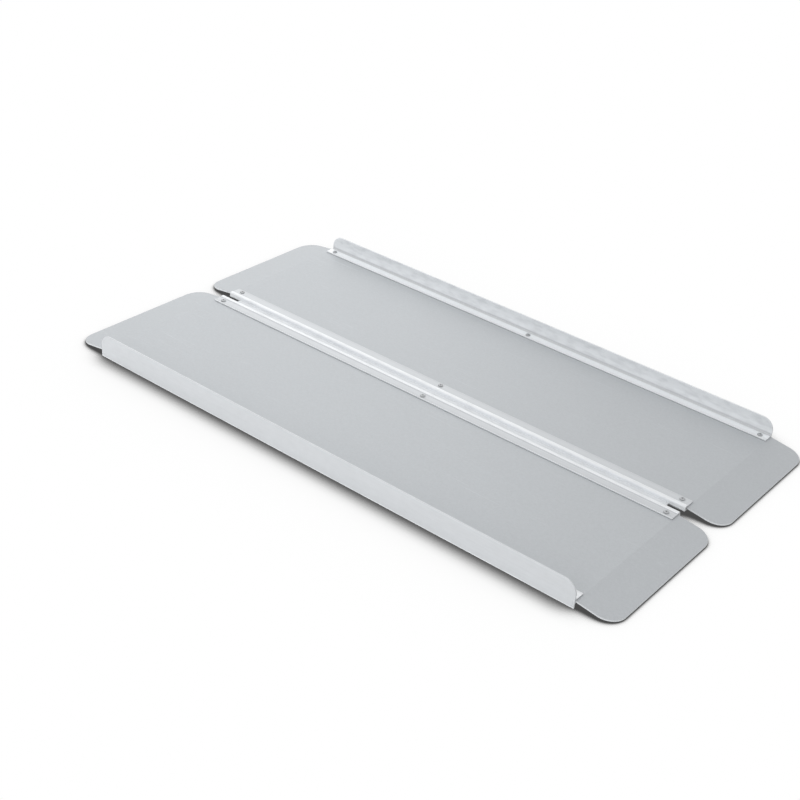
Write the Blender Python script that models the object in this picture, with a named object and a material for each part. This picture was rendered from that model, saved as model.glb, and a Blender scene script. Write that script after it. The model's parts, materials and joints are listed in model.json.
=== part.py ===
"""A single-fold portable wheelchair ramp, lying flat and unfolded on its curb rails.

Two aluminium decks lie side by side and fold together, underside to underside, about one
full-length hinge. X runs along the ramp, Y across it and Z up, in metres, and the origin is on
the floor under the middle of the hinge. The left half is the one at -Y.
"""

import math

import bmesh
import bpy
from mathutils import Vector

# Overall sizes
RAIL_LENGTH = 1.220  # both curb rails and both hinge leaves, end to end
HALF_WIDTH = 0.380  # hinge line to the outer face of a curb rail
CONTACT_GAP = 0.0003  # between two pieces that touch

# Decks
DECK_THICK = 0.0032
DECK_LIFT = 0.0128  # floor to the underside of the deck
DECK_INNER = 0.0165  # hinge line to the deck's inner edge
LIP_LENGTH = 0.082  # along the slope of the lip
LIP_DROP = 0.011  # how far the tip of a lip lies below the deck
LIP_CORNER = 0.038
BEND_RADIUS = 0.008

# Curb rails
CURB_HEIGHT = 0.055
CURB_WALL = 0.0028
CURB_CORNER = 0.027  # upper corners of the wall
CURB_FLANGE = 0.025  # width of the flange on the deck
CURB_LEDGE = 0.0225  # width of the ledge under the deck
CURB_RIVET_INSET = 0.0152  # wall to the rivets

# Hinge leaves
FLANGE_THICK = 0.0026
LEDGE_THICK = 0.0026
GROOVE_HALF = 0.010  # hinge line to the wall of the groove
LEAF_WEB = 0.0032
LEAF_OUTER = 0.041  # hinge line to the outer edge of the flange
LEAF_LEDGE = 0.038  # hinge line to the outer edge of the ledge
LEAF_RIVET = 0.031  # hinge line to the rivets
RIDGE_WIDTH = 0.0105  # raised strip of the leaf beside the groove
RIDGE_HEIGHT = 0.0016  # above the rest of the flange
END_NOTCH = 0.035  # how far the middle of the hinge stops short of the leaf ends
NOTCH_TOE = 0.001  # what the notch leaves at the foot of the groove's wall

# Knuckles and pin
KNUCKLE_COUNT = 12
KNUCKLE_RADIUS = 0.0044
KNUCKLE_SIDE_GAP = 0.0006  # between neighbouring knuckles
KNUCKLE_TOP_GAP = 0.0005  # between a knuckle and the other leaf above it
KNUCKLE_ROOT = 0.001  # how deep a knuckle's block runs into its leaf
PIN_RADIUS = 0.0025
PIN_OVERHANG = 0.004
PIN_HEAD_RADIUS = 0.0042
PIN_HEAD_THICK = 0.0016

# Rivets
RIVET_RADIUS = 0.0030
RIVET_HEAD_RADIUS = 0.0056
RIVET_HEAD_HEIGHT = 0.0024
RIVET_TAIL_RADIUS = 0.0045
RIVET_TAIL_HEIGHT = 0.0030
RIVET_TAIL_BEVEL = 0.0014
RIVET_MOUTH_RADIUS = 0.0016
RIVET_MOUTH_DEPTH = 0.0010
RIVET_MOUTH_DRAFT = 0.0003  # the mouth is this much narrower at its bottom
RIVET_END_INSET = 0.019  # rail end to the outermost rivets
RIVETS_PER_ROW = 3

# Rounding of the extrusions
TIP_ROUND = 0.0010
EDGE_ROUND = 0.0006
INNER_ROUND = 0.0015
RIDGE_ROUND = 0.0032  # where the ridge turns down into the groove
RIDGE_EDGE_ROUND = 0.0012

# Faceting
CORNER_STEPS = 3
BIG_CORNER_STEPS = 8
ROUND_STEPS = 20
BEND_STEPS = 3
SMOOTH_ANGLE = math.radians(35)
CUTTER_MARGIN = 0.004  # how far a cutter runs past what it cuts

# What follows from those sizes
DECK_TOP = DECK_LIFT + DECK_THICK
DECK_OUTER = HALF_WIDTH - CURB_WALL - CONTACT_GAP
FLANGE_UNDER = DECK_TOP + CONTACT_GAP
FLANGE_TOP = FLANGE_UNDER + FLANGE_THICK
LEDGE_TOP = DECK_LIFT - CONTACT_GAP
LEDGE_UNDER = LEDGE_TOP - LEDGE_THICK
AXIS_Z = LEDGE_UNDER - KNUCKLE_TOP_GAP - KNUCKLE_RADIUS
CURB_INNER = HALF_WIDTH - CURB_WALL
CURB_RIVET = CURB_INNER - CURB_RIVET_INSET
HALF_LENGTH = RAIL_LENGTH / 2
STRIP_HALF = HALF_LENGTH - END_NOTCH
LIP_ANGLE = math.asin(LIP_DROP / LIP_LENGTH)
SIDES = {"left": -1, "right": 1}


def clear_scene():
    for obj in list(bpy.data.objects):
        bpy.data.objects.remove(obj, do_unlink=True)


def metal(name, color, roughness):
    material = bpy.data.materials.new(name)
    material.use_nodes = True
    shader = material.node_tree.nodes["Principled BSDF"]
    shader.inputs["Base Color"].default_value = (*color, 1)
    shader.inputs["Metallic"].default_value = 1
    shader.inputs["Roughness"].default_value = roughness
    return material


def object_from(name, mesh_data):
    """A scene object made of this bmesh, with its faces turned outwards."""
    bmesh.ops.recalc_face_normals(mesh_data, faces=mesh_data.faces)
    mesh = bpy.data.meshes.new(name)
    mesh_data.to_mesh(mesh)
    mesh_data.free()
    obj = bpy.data.objects.new(name, mesh)
    bpy.context.scene.collection.objects.link(obj)
    return obj


def finish(obj, material, parent):
    obj.data.materials.append(material)
    obj.data.shade_smooth()
    obj.data.set_sharp_from_angle(angle=SMOOTH_ANGLE)
    attach(obj, parent)


def attach(obj, parent):
    """Parents the object and leaves it where it is."""
    obj.parent = parent
    obj.matrix_parent_inverse = parent.matrix_world.inverted()


def as_cutter(obj, parent):
    obj.hide_render = True
    obj.display_type = "WIRE"
    attach(obj, parent)
    return obj


def combine(obj, other, operation):
    modifier = obj.modifiers.new(other.name, "BOOLEAN")
    modifier.operation = operation
    modifier.object = other


def rounded(corners, steps=CORNER_STEPS):
    """The outline through corners (u, v, radius), each corner turned into an arc of its radius."""
    outline = []
    for index, (u, v, radius) in enumerate(corners):
        corner = Vector((u, v))
        to_last = (Vector(corners[index - 1][:2]) - corner).normalized()
        to_next = (Vector(corners[(index + 1) % len(corners)][:2]) - corner).normalized()
        if radius == 0:
            outline.append(corner)
            continue
        half_turn = to_last.angle(to_next) / 2
        centre = corner + (to_last + to_next).normalized() * (radius / math.sin(half_turn))
        reach = radius / math.tan(half_turn)
        start = corner + to_last * reach - centre
        sweep = math.pi - 2 * half_turn
        if start.x * (to_next - to_last).y - start.y * (to_next - to_last).x < 0:
            sweep = -sweep
        for step in range(steps + 1):
            angle = sweep * step / steps
            turned = Vector((
                start.x * math.cos(angle) - start.y * math.sin(angle),
                start.x * math.sin(angle) + start.y * math.cos(angle),
            ))
            outline.append(centre + turned)
    return outline


def add_prism(mesh_data, outline, start, end, axis):
    """Adds the outline run from start to end along X, where it is (y, z), or along Y, where it is (x, z)."""
    rings = []
    for at in (start, end):
        if axis == "X":
            rings.append([mesh_data.verts.new((at, u, v)) for u, v in outline])
        else:
            rings.append([mesh_data.verts.new((u, at, v)) for u, v in outline])
    first, last = rings
    mesh_data.faces.new(first)
    mesh_data.faces.new(last)
    for index in range(len(outline)):
        before = index - 1
        mesh_data.faces.new((first[before], first[index], last[index], last[before]))


def prism(name, outline, start, end, axis):
    mesh_data = bmesh.new()
    add_prism(mesh_data, outline, start, end, axis)
    return object_from(name, mesh_data)


def sided(corners, side):
    """The corners of a right-hand outline in (y, z), or their mirror image for the left."""
    return [(side * y, z, radius) for y, z, radius in corners]


def circle(radius, centre, steps=ROUND_STEPS):
    angles = [2 * math.pi * step / steps for step in range(steps)]
    return [(centre[0] + radius * math.cos(a), centre[1] + radius * math.sin(a)) for a in angles]


def lathe(name, profile, steps=ROUND_STEPS):
    """A solid of revolution about Z from (radius, z) points that begin and end on the axis."""
    mesh_data = bmesh.new()
    ends = [mesh_data.verts.new((0, 0, profile[at][1])) for at in (0, -1)]
    rings = []
    for radius, z in profile[1:-1]:
        points = circle(radius, (0, 0), steps)
        rings.append([mesh_data.verts.new((x, y, z)) for x, y in points])
    for index in range(steps):
        before = index - 1
        mesh_data.faces.new((ends[0], rings[0][before], rings[0][index]))
        mesh_data.faces.new((ends[1], rings[-1][index], rings[-1][before]))
        for inner, outer in zip(rings, rings[1:]):
            mesh_data.faces.new((inner[before], inner[index], outer[index], outer[before]))
    return object_from(name, mesh_data)


def rivet_stations():
    """Where along X the rivets of one row sit."""
    reach = HALF_LENGTH - RIVET_END_INSET
    return [reach * (2 * index / (RIVETS_PER_ROW - 1) - 1) for index in range(RIVETS_PER_ROW)]


def rivet_hole_cutter(name, y, parent):
    """One helper that holds the drills of a whole row of rivets."""
    mesh_data = bmesh.new()
    low = LEDGE_UNDER - CUTTER_MARGIN
    high = FLANGE_TOP + CUTTER_MARGIN
    for x in rivet_stations():
        points = circle(RIVET_RADIUS + CONTACT_GAP, (x, y))
        rings = [[mesh_data.verts.new((u, v, z)) for u, v in points] for z in (low, high)]
        mesh_data.faces.new(rings[0])
        mesh_data.faces.new(rings[1])
        for index in range(len(points)):
            before = index - 1
            side = (rings[0][before], rings[0][index], rings[1][index], rings[1][before])
            mesh_data.faces.new(side)
    return as_cutter(object_from(name, mesh_data), parent)


def deck_path():
    """The deck's upper surface in side view, from the middle to the tip of a lip, as (x, z)."""
    path = []
    for step in range(BEND_STEPS + 1):
        angle = LIP_ANGLE * step / BEND_STEPS
        along = HALF_LENGTH + BEND_RADIUS * math.sin(angle)
        path.append((along, DECK_TOP - BEND_RADIUS * (1 - math.cos(angle))))
    return path


def lip_outline():
    """The lip's edge from its outer side to its inner side, as (distance from the bend, y)."""
    length = LIP_LENGTH - BEND_RADIUS * LIP_ANGLE
    corners = [
        (0, DECK_OUTER, 0),
        (length, DECK_OUTER, LIP_CORNER),
        (length, DECK_INNER, LIP_CORNER),
        (0, DECK_INNER, 0),
    ]
    return rounded(corners, BIG_CORNER_STEPS)


def deck(label, side, material, parent):
    """One sheet with a lip bent down at each end and rounded at both corners."""
    mesh_data = bmesh.new()
    path = deck_path()
    columns = [(-x, z) for x, z in reversed(path)] + path
    edges = []
    for x, z in columns:
        inner = mesh_data.verts.new((x, side * DECK_INNER, z))
        outer = mesh_data.verts.new((x, side * DECK_OUTER, z))
        edges.append((inner, outer))
    for (inner, outer), (next_inner, next_outer) in zip(edges, edges[1:]):
        mesh_data.faces.new((inner, outer, next_outer, next_inner))
    bend_x, bend_z = path[-1]
    for end, (inner, outer) in ((-1, edges[0]), (1, edges[-1])):
        rim = []
        for distance, y in lip_outline()[1:-1]:
            x = end * (bend_x + distance * math.cos(LIP_ANGLE))
            z = bend_z - distance * math.sin(LIP_ANGLE)
            rim.append(mesh_data.verts.new((x, side * y, z)))
        mesh_data.faces.new([inner, outer, *rim])
    turn_up(mesh_data)
    obj = object_from("deck_" + label, mesh_data)
    sheet = obj.modifiers.new("sheet", "SOLIDIFY")
    sheet.thickness = DECK_THICK
    sheet.offset = -1
    sheet.use_even_offset = True
    finish(obj, material, parent)
    return obj


def turn_up(mesh_data):
    """Gives every face of a sheet an upward normal, so that its thickness goes down."""
    for face in mesh_data.faces:
        face.normal_update()
        if face.normal.z < 0:
            face.normal_flip()


def curb_rail(label, side, material, parent):
    """An extrusion with a wall, a flange on the deck and a ledge under it."""
    corners = [
        (HALF_WIDTH, 0, EDGE_ROUND),
        (HALF_WIDTH, CURB_HEIGHT, TIP_ROUND),
        (CURB_INNER, CURB_HEIGHT, TIP_ROUND),
        (CURB_INNER, FLANGE_TOP, INNER_ROUND),
        (CURB_INNER - CURB_FLANGE, FLANGE_TOP, TIP_ROUND),
        (CURB_INNER - CURB_FLANGE, FLANGE_UNDER, EDGE_ROUND),
        (CURB_INNER, FLANGE_UNDER, 0),
        (CURB_INNER, LEDGE_TOP, 0),
        (CURB_INNER - CURB_LEDGE, LEDGE_TOP, EDGE_ROUND),
        (CURB_INNER - CURB_LEDGE, LEDGE_UNDER, EDGE_ROUND),
        (CURB_INNER, LEDGE_UNDER, INNER_ROUND),
        (CURB_INNER, 0, EDGE_ROUND),
    ]
    outline = rounded(sided(corners, side))
    rail = prism("curb_rail_" + label, outline, -HALF_LENGTH, HALF_LENGTH, "X")
    for end, name in ((-1, "top"), (1, "bottom")):
        cutter = corner_cutter(f"corner_{name}_{label}", side, end, parent)
        combine(rail, cutter, "DIFFERENCE")
    finish(rail, material, parent)
    return rail


def corner_cutter(name, side, end, parent):
    """What is taken off an upper corner of a curb wall to leave it round."""
    centre_x = HALF_LENGTH - CURB_CORNER
    centre_z = CURB_HEIGHT - CURB_CORNER
    outline = []
    for step in range(BIG_CORNER_STEPS + 1):
        angle = math.pi / 2 * step / BIG_CORNER_STEPS
        x = centre_x + CURB_CORNER * math.cos(angle)
        outline.append((end * x, centre_z + CURB_CORNER * math.sin(angle)))
    outline.append((end * centre_x, CURB_HEIGHT + CUTTER_MARGIN))
    outline.append((end * (HALF_LENGTH + CUTTER_MARGIN), CURB_HEIGHT + CUTTER_MARGIN))
    outline.append((end * (HALF_LENGTH + CUTTER_MARGIN), centre_z))
    near = side * (CURB_INNER - CUTTER_MARGIN)
    far = side * (HALF_WIDTH + CUTTER_MARGIN)
    return as_cutter(prism(name, outline, near, far, "Y"), parent)


def hinge_leaf(label, side, material, parent):
    """An extrusion that holds the deck's inner edge and carries every other knuckle."""
    ridge_top = FLANGE_TOP + RIDGE_HEIGHT
    ridge_outer = GROOVE_HALF + RIDGE_WIDTH
    corners = [
        (CONTACT_GAP / 2, LEDGE_TOP, 0),
        (GROOVE_HALF, LEDGE_TOP, EDGE_ROUND),
        (GROOVE_HALF, ridge_top, RIDGE_ROUND),
        (ridge_outer - RIDGE_HEIGHT, ridge_top, RIDGE_EDGE_ROUND),
        (ridge_outer, FLANGE_TOP, EDGE_ROUND),
        (LEAF_OUTER, FLANGE_TOP, TIP_ROUND),
        (LEAF_OUTER, FLANGE_UNDER, EDGE_ROUND),
        (GROOVE_HALF + LEAF_WEB, FLANGE_UNDER, 0),
        (GROOVE_HALF + LEAF_WEB, LEDGE_TOP, 0),
        (LEAF_LEDGE, LEDGE_TOP, EDGE_ROUND),
        (LEAF_LEDGE, LEDGE_UNDER, EDGE_ROUND),
        (CONTACT_GAP / 2, LEDGE_UNDER, 0),
    ]
    outline = rounded(sided(corners, side))
    leaf = prism("hinge_leaf_" + label, outline, -HALF_LENGTH, HALF_LENGTH, "X")
    combine(leaf, knuckles(label, side, parent), "UNION")
    combine(leaf, notch_cutter(label, side, parent), "DIFFERENCE")
    combine(leaf, bore_cutter(label, parent), "DIFFERENCE")
    finish(leaf, material, parent)
    return leaf


def knuckle_spans(side):
    """The X ranges of the knuckles on this side's leaf: every other one of the row."""
    pitch = 2 * STRIP_HALF / KNUCKLE_COUNT
    first = 0 if side < 0 else 1
    spans = []
    for index in range(first, KNUCKLE_COUNT, 2):
        start = -STRIP_HALF + index * pitch
        spans.append((start + KNUCKLE_SIDE_GAP / 2, start + pitch - KNUCKLE_SIDE_GAP / 2))
    return spans


def knuckle_outline(side):
    """A round barrel with a block that joins it to the leaf above."""
    block_inner = CONTACT_GAP / 2
    start = math.acos(block_inner / KNUCKLE_RADIUS)
    outline = [(block_inner, LEDGE_UNDER + KNUCKLE_ROOT)]
    for step in range(ROUND_STEPS + 1):
        angle = start + (2 * math.pi - start) * step / ROUND_STEPS
        point = (KNUCKLE_RADIUS * math.cos(angle), AXIS_Z + KNUCKLE_RADIUS * math.sin(angle))
        outline.append(point)
    outline.append((KNUCKLE_RADIUS, LEDGE_UNDER + KNUCKLE_ROOT))
    return [(side * y, z) for y, z in outline]


def knuckles(label, side, parent):
    mesh_data = bmesh.new()
    for start, end in knuckle_spans(side):
        add_prism(mesh_data, knuckle_outline(side), start, end, "X")
    return as_cutter(object_from("knuckles_" + label, mesh_data), parent)


def notch_cutter(label, side, parent):
    """Takes the middle of the hinge away at both ends of a leaf."""
    inner = -CUTTER_MARGIN
    outer = GROOVE_HALF - NOTCH_TOE
    low = -CUTTER_MARGIN
    high = LEDGE_TOP + CUTTER_MARGIN
    outline = [(side * y, z) for y, z in ((inner, low), (outer, low), (outer, high), (inner, high))]
    mesh_data = bmesh.new()
    for end in (-1, 1):
        far = end * (HALF_LENGTH + CUTTER_MARGIN)
        add_prism(mesh_data, outline, end * STRIP_HALF, far, "X")
    return as_cutter(object_from("notches_" + label, mesh_data), parent)


def bore_cutter(label, parent):
    outline = circle(PIN_RADIUS + CONTACT_GAP, (0, AXIS_Z))
    reach = STRIP_HALF + CUTTER_MARGIN
    return as_cutter(prism("bore_" + label, outline, -reach, reach, "X"), parent)


def lay_along_x(obj, x):
    """Puts a turned piece on the hinge axis, its own Z along X and its origin at x."""
    obj.rotation_euler = (0, math.pi / 2, 0)
    obj.location = (x, 0, AXIS_Z)


def hinge_pin(material, parent):
    """A rod through all the knuckles, with a formed head at the end that rests on the step."""
    shoulder = STRIP_HALF + CONTACT_GAP
    profile = [
        (0, -shoulder - PIN_HEAD_THICK),
        (PIN_HEAD_RADIUS, -shoulder - PIN_HEAD_THICK),
        (PIN_HEAD_RADIUS, -shoulder),
        (PIN_RADIUS, -shoulder),
        (PIN_RADIUS, STRIP_HALF + PIN_OVERHANG),
        (0, STRIP_HALF + PIN_OVERHANG),
    ]
    pin = lathe("hinge_pin", profile)
    lay_along_x(pin, 0)
    finish(pin, material, parent)


def pin_retainer(material, parent):
    """A collar pushed onto the pin's other end."""
    inner = PIN_RADIUS + CONTACT_GAP
    mesh_data = bmesh.new()
    faces = []
    for z in (0, PIN_HEAD_THICK):
        for radius in (inner, PIN_HEAD_RADIUS):
            points = circle(radius, (0, 0))
            faces.append([mesh_data.verts.new((x, y, z)) for x, y in points])
    low_inner, low_outer, high_inner, high_outer = faces
    around = [(low_inner, low_outer), (low_outer, high_outer), (high_outer, high_inner)]
    around.append((high_inner, low_inner))
    for index in range(ROUND_STEPS):
        before = index - 1
        for ring, other in around:
            mesh_data.faces.new((ring[before], ring[index], other[index], other[before]))
    collar = object_from("hinge_pin_retainer", mesh_data)
    lay_along_x(collar, STRIP_HALF + CONTACT_GAP)
    finish(collar, material, parent)


def rivet_profile():
    """From the underside of the tail, over the shank, to the mouth in the domed head."""
    seat = -(FLANGE_TOP - LEDGE_UNDER + 2 * CONTACT_GAP)
    bottom = seat - RIVET_TAIL_HEIGHT
    profile = [
        (0, bottom),
        (RIVET_TAIL_RADIUS - RIVET_TAIL_BEVEL, bottom),
        (RIVET_TAIL_RADIUS, bottom + RIVET_TAIL_BEVEL),
        (RIVET_TAIL_RADIUS, seat),
        (RIVET_RADIUS, seat),
        (RIVET_RADIUS, 0),
        (RIVET_HEAD_RADIUS, 0),
    ]
    for step in range(1, CORNER_STEPS + 1):
        share = step / CORNER_STEPS
        radius = RIVET_HEAD_RADIUS + (RIVET_MOUTH_RADIUS - RIVET_HEAD_RADIUS) * share
        profile.append((radius, RIVET_HEAD_HEIGHT * math.sin(share * math.pi / 2)))
    mouth_floor = RIVET_HEAD_HEIGHT - RIVET_MOUTH_DEPTH
    profile.append((RIVET_MOUTH_RADIUS - RIVET_MOUTH_DRAFT, mouth_floor))
    profile.append((0, mouth_floor))
    return profile


def rivet_row(name, y, pieces, material, parent):
    """Drills one row of holes through these pieces and puts a rivet in each hole."""
    cutter = rivet_hole_cutter("holes_" + name, y, parent)
    for piece in pieces:
        combine(piece, cutter, "DIFFERENCE")
    for number, x in enumerate(rivet_stations(), 1):
        rivet = lathe(f"rivet_{name}_{number}", rivet_profile())
        rivet.location = (x, y, FLANGE_TOP + CONTACT_GAP)
        finish(rivet, material, parent)


def half(label, side, looks, parent):
    sheet = deck(label, side, looks["deck"], parent)
    rail = curb_rail(label, side, looks["rail"], parent)
    leaf = hinge_leaf(label, side, looks["rail"], parent)
    rivet_row("curb_" + label, side * CURB_RIVET, [sheet, rail], looks["rivet"], parent)
    rivet_row("hinge_" + label, side * LEAF_RIVET, [sheet, leaf], looks["rivet"], parent)


def pivot(name):
    """An empty on the hinge axis that carries one half."""
    empty = bpy.data.objects.new(name, None)
    bpy.context.scene.collection.objects.link(empty)
    empty.location = (0, 0, AXIS_Z)
    return empty


def main():
    clear_scene()
    looks = {
        "deck": metal("matt_aluminium", (0.60, 0.62, 0.64), 0.55),
        "rail": metal("extruded_aluminium", (0.72, 0.74, 0.77), 0.35),
        "rivet": metal("rivet_aluminium", (0.50, 0.51, 0.53), 0.40),
        "pin": metal("pin_steel", (0.45, 0.45, 0.47), 0.30),
    }
    pivots = {label: pivot(label + "_half_pivot") for label in SIDES}
    bpy.context.view_layer.update()
    for label, side in SIDES.items():
        half(label, side, looks, pivots[label])
    hinge_pin(looks["pin"], pivots["left"])
    pin_retainer(looks["pin"], pivots["left"])


main()
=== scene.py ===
"""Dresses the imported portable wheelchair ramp: fine meshes, metal finishes, studio and camera.

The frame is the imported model, in metres: X runs along the ramp with the ground end at +X, Y runs
across it with the left half at -Y, Z is up, and the origin is on the floor under the hinge. Each
CAD solid is replaced by a piece of the same size with finer curves, eased edges and true heads.
"""

import json
import math

import bmesh
import bpy
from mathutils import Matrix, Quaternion, Vector

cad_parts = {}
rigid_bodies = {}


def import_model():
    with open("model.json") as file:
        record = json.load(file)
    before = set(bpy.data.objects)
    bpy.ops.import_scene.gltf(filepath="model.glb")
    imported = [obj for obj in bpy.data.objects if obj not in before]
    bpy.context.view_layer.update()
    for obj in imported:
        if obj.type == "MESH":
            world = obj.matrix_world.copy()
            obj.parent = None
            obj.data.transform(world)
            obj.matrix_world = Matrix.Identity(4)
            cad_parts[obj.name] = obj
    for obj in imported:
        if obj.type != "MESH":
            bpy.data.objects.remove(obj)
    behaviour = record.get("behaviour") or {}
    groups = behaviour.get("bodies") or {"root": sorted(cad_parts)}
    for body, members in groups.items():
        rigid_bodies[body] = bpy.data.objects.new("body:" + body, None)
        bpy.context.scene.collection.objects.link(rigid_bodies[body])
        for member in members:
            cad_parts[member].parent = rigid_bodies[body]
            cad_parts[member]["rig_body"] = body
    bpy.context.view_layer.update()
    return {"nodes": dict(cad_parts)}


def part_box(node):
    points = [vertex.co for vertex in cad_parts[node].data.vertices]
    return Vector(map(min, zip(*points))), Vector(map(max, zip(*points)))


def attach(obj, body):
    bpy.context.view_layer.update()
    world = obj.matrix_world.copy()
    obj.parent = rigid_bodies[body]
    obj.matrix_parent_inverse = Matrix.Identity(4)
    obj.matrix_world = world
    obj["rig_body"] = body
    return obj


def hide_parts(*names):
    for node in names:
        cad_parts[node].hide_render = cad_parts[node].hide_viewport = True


# Camera, fitted to the photograph's corners
CAMERA_POINT = (1.495, -2.144, 1.551)
CAMERA_TARGET = (-0.026, -0.075, 0.016)
CAMERA_ROLL = math.radians(5.2)
CAMERA_LENS = 64.1
CAMERA_SENSOR = 36.0

# Sizes of the CAD profiles that a node's box doesn't give
CONTACT_GAP = 0.0003
DECK_THICK = 0.0032
DECK_LIFT = 0.0128
LIP_LENGTH = 0.082
LIP_DROP = 0.011
LIP_CORNER = 0.038
BEND_RADIUS = 0.008
CURB_WALL = 0.0028
CURB_CORNER = 0.027
CURB_FLANGE = 0.025
CURB_LEDGE = 0.0225
FLANGE_THICK = 0.0026
LEDGE_THICK = 0.0026
GROOVE_HALF = 0.010
LEAF_WEB = 0.0032
LEAF_LEDGE = 0.038
RIDGE_WIDTH = 0.0105
RIDGE_HEIGHT = 0.0016
END_NOTCH = 0.035
NOTCH_TOE = 0.001
KNUCKLE_COUNT = 12
KNUCKLE_RADIUS = 0.0044
KNUCKLE_SIDE_GAP = 0.0006
KNUCKLE_TOP_GAP = 0.0005
KNUCKLE_ROOT = 0.001
PIN_RADIUS = 0.0025
RIVET_RADIUS = 0.0030
RIVET_HEAD_HEIGHT = 0.0024
RIVET_TAIL_RADIUS = 0.0045
RIVET_TAIL_HEIGHT = 0.0030
RIVET_MOUTH_RADIUS = 0.0016

# Rounding of the extrusions, as in the CAD profiles
TIP_ROUND = 0.0010
EDGE_ROUND = 0.0006
INNER_ROUND = 0.0015
RIDGE_ROUND = 0.0032
RIDGE_EDGE_ROUND = 0.0012
PARTING_ROUND = 0.0005

# Turned shapes of a rivet: the tail as shares of its radius and height, and the mouth as
# distances inward and down from the edge of its hole, in metres
TAIL_SHAPE = ((0, 0), (0.45, 0.02), (0.80, 0.16), (0.97, 0.42), (1, 0.64), (0.96, 0.94), (0.9, 1))
MOUTH_SHAPE = (
    (-0.0001, 0.0001),
    (0.0000, 0.0004),
    (0.0001, 0.0012),
    (0.0004, 0.0012),
    (0.00045, 0.0008),
    (0.0007, 0.0007),
)
MOUTH_LIP = 0.0003
HEAD_EDGE = 0.0005
DOME_FULLNESS = 0.9
MANDREL_DEPTH = 0.00075

# The hinge rod's head as (share of its radius, distance from its end), its tip and its collar
ROD_HEAD_SHAPE = ((0.70, 0.00004), (0.90, 0.00022), (0.985, 0.00055), (1, 0.0009))
ROD_HEAD_THICK = 0.0016
ROD_HEAD_EDGE = 0.0001
ROD_TIP_LENGTH = 0.0008
ROD_TIP_DEPTH = 0.0007
COLLAR_EDGE = 0.0003

# Fineness of the meshes
CORNER_STEPS = 6
BIG_CORNER_STEPS = 32
BEND_STEPS = 8
ROUND_STEPS = 48
CUT_EDGE = 0.0003
SHEET_EDGE = 0.0007
EDGE_SEGMENTS = 3
DOME_STEPS = 10
BEVEL_ANGLE = math.radians(40)
SMOOTH_ANGLE = math.radians(50)
FLAT_ANGLE = math.radians(0.1)
WELD_DISTANCE = 0.000002
CUTTER_MARGIN = 0.004

# Studio
WORLD_LEVEL = 0.50
BACKDROP_LEVEL = 1.0
FLOOR_TONE = 0.90
FLOOR_ROUGHNESS = 0.9
FLOOR_GLOW = 0.30
FLOOR_SIZE = 30.0

# Painted shades on the floor, seen by the camera: reach in metres, share of open sky where darkest,
# and tone there
CONTACT_SHADE = (0.055, 0.45, 0.10)
SOFT_SHADE = (0.30, 0.35, 0.70)

# Lamps: place, size in metres, power in watts, and whether the metal mirrors the lamp
LAMPS = {
    "key": ((-1.9, 0.3, 2.0), 1.2, 24, False),
    "fill": ((0.3, -3.6, 1.8), 2.5, 58, False),
    "sheen": ((-2.2, 2.0, 1.7), 2.4, 10, True),
}

# Colours of the metals
DECK_COLOR = (0.512, 0.533, 0.552)
BARE_EDGE_COLOR = (0.70, 0.72, 0.74)
EXTRUSION_COLOR = (0.65, 0.67, 0.69)
# Bright colour of worn spots, which also carries the painted highlights on ridges, rims and flanges
POLISH_AND_HIGHLIGHT_COLOR = (0.93, 0.95, 0.97)
SAWN_COLOR = (0.60, 0.61, 0.62)
RIVET_COLOR = (0.40, 0.41, 0.42)
MANDREL_COLOR = (0.22, 0.22, 0.23)
PIN_COLOR = (0.45, 0.45, 0.47)

# How far painted shade and dirt darken, and their share in each place
DIRT_AND_SHADE_DEPTH = 0.30
RIDGE_FOOT_SHADE = 0.45
LEAF_EDGE_DIRT_AND_SHADE = 0.22
RAIL_EDGE_DIRT_AND_SHADE = 0.40

# How far each place is painted bright: partly wear, partly painted highlight
RIDGE_WEAR_AND_HIGHLIGHT = 0.70
RIM_WEAR_AND_HIGHLIGHT = 0.15
WHEEL_SIDE_WEAR_AND_LIGHT = 0.75

# Distances over which a mask comes in, counted from the face or the edge that it follows
RAISED_FADE = (0.0003, 0.0012)
GROOVE_WALL_FADE = (0.0025, 0.0015)
GROOVE_FLOOR_FADE = (-0.0010, 0.0004)
LEAF_EDGE_FADE = (-0.0016, -0.0006)
RIDGE_FOOT_FADE = (0.0026, 0.0002)
# These two bring in the dirt with painted shade at edges, and the painted shade in corners
EDGE_DIRT_AND_SHADE_FADE = (-0.010, -0.001)
CORNER_SHADE_FADE = (0.008, 0.0015)
FLAT_FADE = (0.0006, 0.0002)
FLANGE_FADE = (0.0030, 0.0008)
INNER_FACE_FADE = (0.0008, 0.0003)
ABOVE_DECK_FADE = (0, 0.0004)
RIM_FADE = (-0.0035, -0.0006)
FOOT_FADE = (0.0028, 0.0006)
MOUTH_FADE = (0.0003, -0.0003)
CROWN_FADE = (0.0010, 0.0022)

# Shares of the normal between which a face counts as sheared or sawn
SHEARED_FACING = (0.9, 0.5)
SAWN_FACING = (0.8, 0.95)

# Levels of a pattern between which it comes in
MARK_LEVELS = (0.62, 0.74)
MARKED_LEVELS = (0.45, 0.65)
NICK_LEVELS = (0.66, 0.74)
# Patchiness of the painted shade and dirt
DIRT_AND_SHADE_LEVELS = (0.2, 0.6)
RIDGE_LEVELS = (0.2, 0.55)
# Patchiness of the rails' wear and painted highlight
RUBBED_AND_LIT_LEVELS = (0.3, 0.6)

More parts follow.
